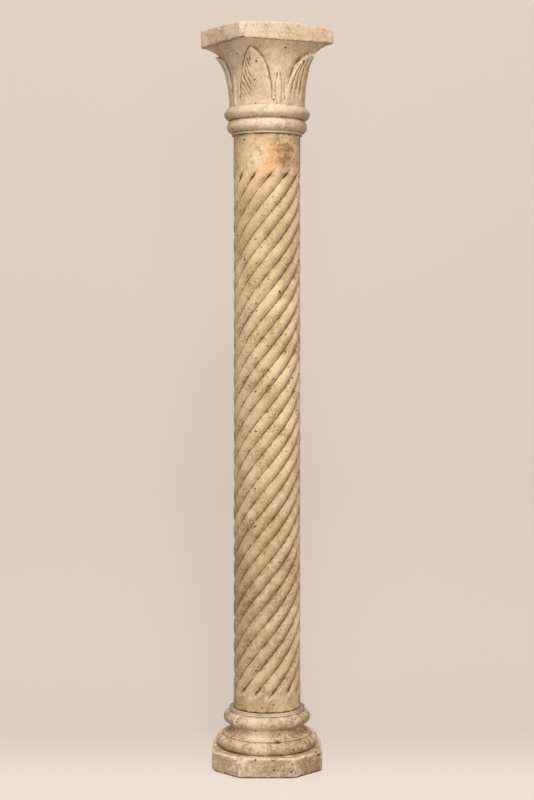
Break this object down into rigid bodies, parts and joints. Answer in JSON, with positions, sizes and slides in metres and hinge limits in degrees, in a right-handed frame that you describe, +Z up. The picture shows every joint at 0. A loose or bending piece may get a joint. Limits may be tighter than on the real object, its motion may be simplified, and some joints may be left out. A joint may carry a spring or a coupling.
{
  "type": "twisted column",
  "caption": "Free-standing carved stone column: moulded base on a clipped-corner plinth, shaft with spiral reeding, leaf capital under a square abacus.",
  "frame": {"origin": "centre of the plinth's underside, on the column's axis", "axes": "+Z up along the column's axis, -Y the front face of the plinth"},
  "size_m": [0.3153, 0.2801, 1.757],
  "materials": {
    "base_stone": "matt weathered limestone, tan, with small pits and grey dirt around the foot",
    "shaft_stone": "matt weathered limestone, yellow tan, with brown dirt in the grooves and an ochre stain near the top",
    "capital_stone": "matt weathered limestone, pale greyish beige, with small dark pits and worn edges"
  },
  "bodies": {
    "root": {"base": "base_stone", "shaft": "shaft_stone", "capital": "capital_stone"}
  },
  "joints": []
}
